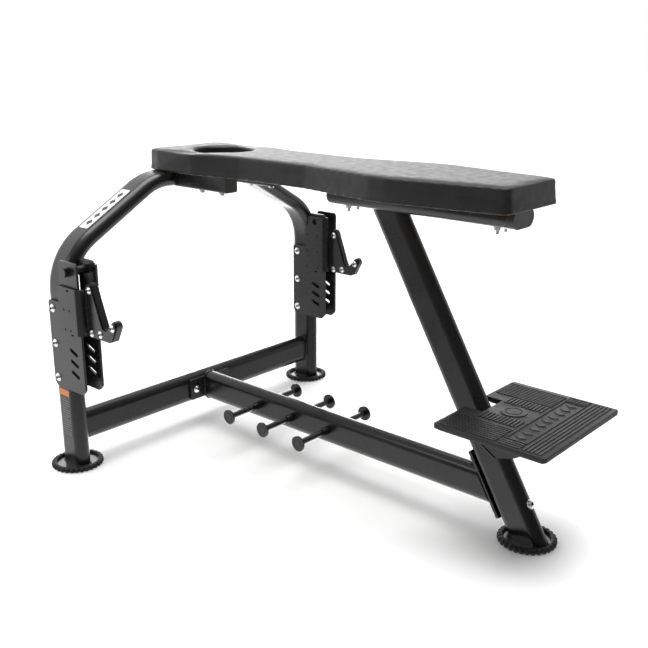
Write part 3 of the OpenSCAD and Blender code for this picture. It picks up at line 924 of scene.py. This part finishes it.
def direction_ramp(tree, value, start, end, height):
    """A smooth rise with direction: zero below the start and the given height above the end."""
    node = tree.nodes.new("ShaderNodeMapRange")
    node.interpolation_type = "SMOOTHSTEP"
    node.inputs["From Min"].default_value = start
    node.inputs["From Max"].default_value = end
    node.inputs["To Max"].default_value = height
    tree.links.new(value, node.inputs["Value"])
    return node.outputs["Result"]


def combined(tree, operation, a, b):
    node = tree.nodes.new("ShaderNodeMath")
    node.operation = operation
    for socket, value in zip(node.inputs, (a, b)):
        if isinstance(value, float):
            socket.default_value = value
        else:
            tree.links.new(value, socket)
    return node.outputs["Value"]


def make_world():
    """A studio that looks plain white to the camera, and lights the bench unevenly from all sides."""
    world = bpy.data.worlds.new("studio")
    bpy.context.scene.world = world
    world.use_nodes = True
    tree = world.node_tree
    place = tree.nodes.new("ShaderNodeTexCoord").outputs["Generated"]
    split = tree.nodes.new("ShaderNodeSeparateXYZ")
    tree.links.new(place, split.inputs[0])
    x, y, z = (split.outputs[axis] for axis in "XYZ")
    head_wall = direction_ramp(tree, x, -0.50, -0.90, HEAD_WALL)
    behind = direction_ramp(tree, y, 0.25, 0.70, 1.0)
    headward = direction_ramp(tree, x, 0.0, -0.90, 1.0)
    low = direction_ramp(tree, z, 0.48, 0.12, BACK_STRIP)
    under = direction_ramp(tree, z, -0.25, -0.50, UNDER)
    strip = combined(tree, "MULTIPLY", combined(tree, "MULTIPLY", behind, headward), low)
    back_wall = direction_ramp(tree, y, 0.55, 0.85, BACK_WALL)
    top = direction_ramp(tree, z, 0.55, 0.85, TOP)
    total = head_wall
    for part in (back_wall, strip, under, top):
        total = combined(tree, "MAXIMUM", total, part)
    total = combined(tree, "ADD", total, FILL)
    lit, seen = tree.nodes["Background"], tree.nodes.new("ShaderNodeBackground")
    lit.inputs["Color"].default_value = seen.inputs["Color"].default_value = (1, 1, 1, 1)
    tree.links.new(total, lit.inputs["Strength"])
    mix = tree.nodes.new("ShaderNodeMixShader")
    tree.links.new(tree.nodes.new("ShaderNodeLightPath").outputs["Is Camera Ray"], mix.inputs[0])
    tree.links.new(lit.outputs[0], mix.inputs[1])
    tree.links.new(seen.outputs[0], mix.inputs[2])
    tree.links.new(mix.outputs[0], tree.nodes["World Output"].inputs["Surface"])


def make_stage():
    """A plain pale floor, a soft sun and a card of light on the camera's side."""
    floor_half = 40
    shape = bmesh.new()
    bmesh.ops.create_grid(shape, x_segments=2, y_segments=2, size=floor_half)
    mesh = bpy.data.meshes.new("floor")
    shape.to_mesh(mesh)
    shape.free()
    floor = bpy.data.objects.new("floor", mesh)
    floor.visible_glossy = False
    bpy.context.scene.collection.objects.link(floor)
    made = Finish("floor_white", roughness=0.8)
    made.colour(made.noise(3, 2), shades((0.90, 0.90, 0.90), 0.01))
    mesh.materials.append(made.material)
    make_world()

    sun = bpy.data.lights.new("overhead", "SUN")
    sun.energy, sun.angle = 3.3, math.radians(50)
    lamp = bpy.data.objects.new("overhead", sun)
    lamp.rotation_euler = Vector((0.08, -0.12, -1)).to_track_quat("-Z", "Y").to_euler()
    bpy.context.scene.collection.objects.link(lamp)
    area_light("front_card", (-1.6, -3.4, 2.3), (-0.1, 0, 0.5), 1.1, 16)
    bpy.context.scene.view_settings.view_transform = "Standard"


def make_camera():
    """Looks at the bench from beyond its foot plate, on the left side and from above."""
    azimuth, elevation, roll = math.radians(41.597), math.radians(17.160), math.radians(0.126)
    stand = (1.6162, -1.9400, 1.2574)
    data = bpy.data.cameras.new("camera")
    data.sensor_width, data.lens = 36.0, 49.41
    camera = bpy.data.objects.new("camera", data)
    bpy.context.scene.collection.objects.link(camera)
    forward = Vector((-math.sin(azimuth) * math.cos(elevation), math.cos(azimuth) * math.cos(elevation),
                      -math.sin(elevation)))
    turn = forward.to_track_quat("-Z", "Y").to_matrix() @ Matrix.Rotation(roll, 3, "Z")
    camera.matrix_world = Matrix.Translation(stand) @ turn.to_4x4()
    bpy.context.scene.camera = camera


# ---- build ----

make_camera()
make_stage()
paint_cad_nodes()
for side in SIDES:
    guide_bolts(side)
    hook_bolts(side)
    stop_bolt(side)
    for part in ("outer_guide_plate", "inner_guide_plate", "carriage", "hook_cheeks", "hook_core"):
        softened(f"{side}_{part}")
for part in ("front_flange_plate", "rear_flange_plate", "tread_gusset_left", "tread_gusset_right"):
    softened(part)
flange_bolts()
rear_flange_bolts()
welds()
make_tread()
for node in ("left_foot_pad", "right_foot_pad", "rear_foot_pad"):
    make_foot(node)
plaque()
leg_tag()
make_pad()
